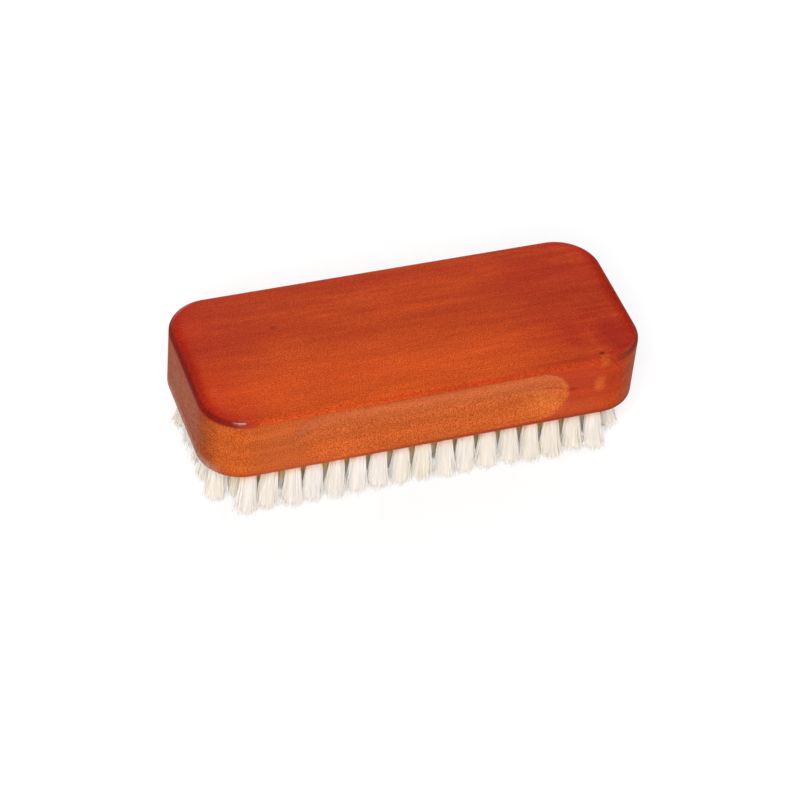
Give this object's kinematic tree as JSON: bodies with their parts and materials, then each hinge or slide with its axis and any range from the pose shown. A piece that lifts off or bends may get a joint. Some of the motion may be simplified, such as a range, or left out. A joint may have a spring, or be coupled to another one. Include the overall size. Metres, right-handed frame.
{
  "type": "hand brush",
  "caption": "Palm-held brush: a rounded wooden block with a finger groove along each long side, set underneath with rows of light natural bristle tufts.",
  "frame": {"origin": "on the plane of the bristle tips, under the middle of the block", "axes": "+X along the block, +Y across it, +Z from the bristle tips up through the block's flat back"},
  "size_m": [0.11, 0.045, 0.0317],
  "materials": {
    "stained_wood": "stained red-orange, waxed to a satin",
    "light_bristle": "natural bristle, matt",
    "anchor_wire": "drawn flat wire"
  },
  "bodies": {
    "root": {"handle_block": "stained_wood", "tuft_column_01": "light_bristle", "tuft_column_02": "light_bristle", "tuft_column_03": "light_bristle", "tuft_column_04": "light_bristle", "tuft_column_05": "light_bristle", "tuft_column_06": "light_bristle", "tuft_column_07": "light_bristle", "tuft_column_08": "light_bristle", "tuft_column_09": "light_bristle", "tuft_column_10": "light_bristle", "tuft_column_11": "light_bristle", "tuft_column_12": "light_bristle", "tuft_column_13": "light_bristle", "tuft_column_14": "light_bristle", "tuft_column_15": "light_bristle", "tuft_column_16": "light_bristle", "tuft_column_17": "light_bristle", "tuft_column_18": "light_bristle", "tuft_column_19": "light_bristle"}
  },
  "joints": []
}
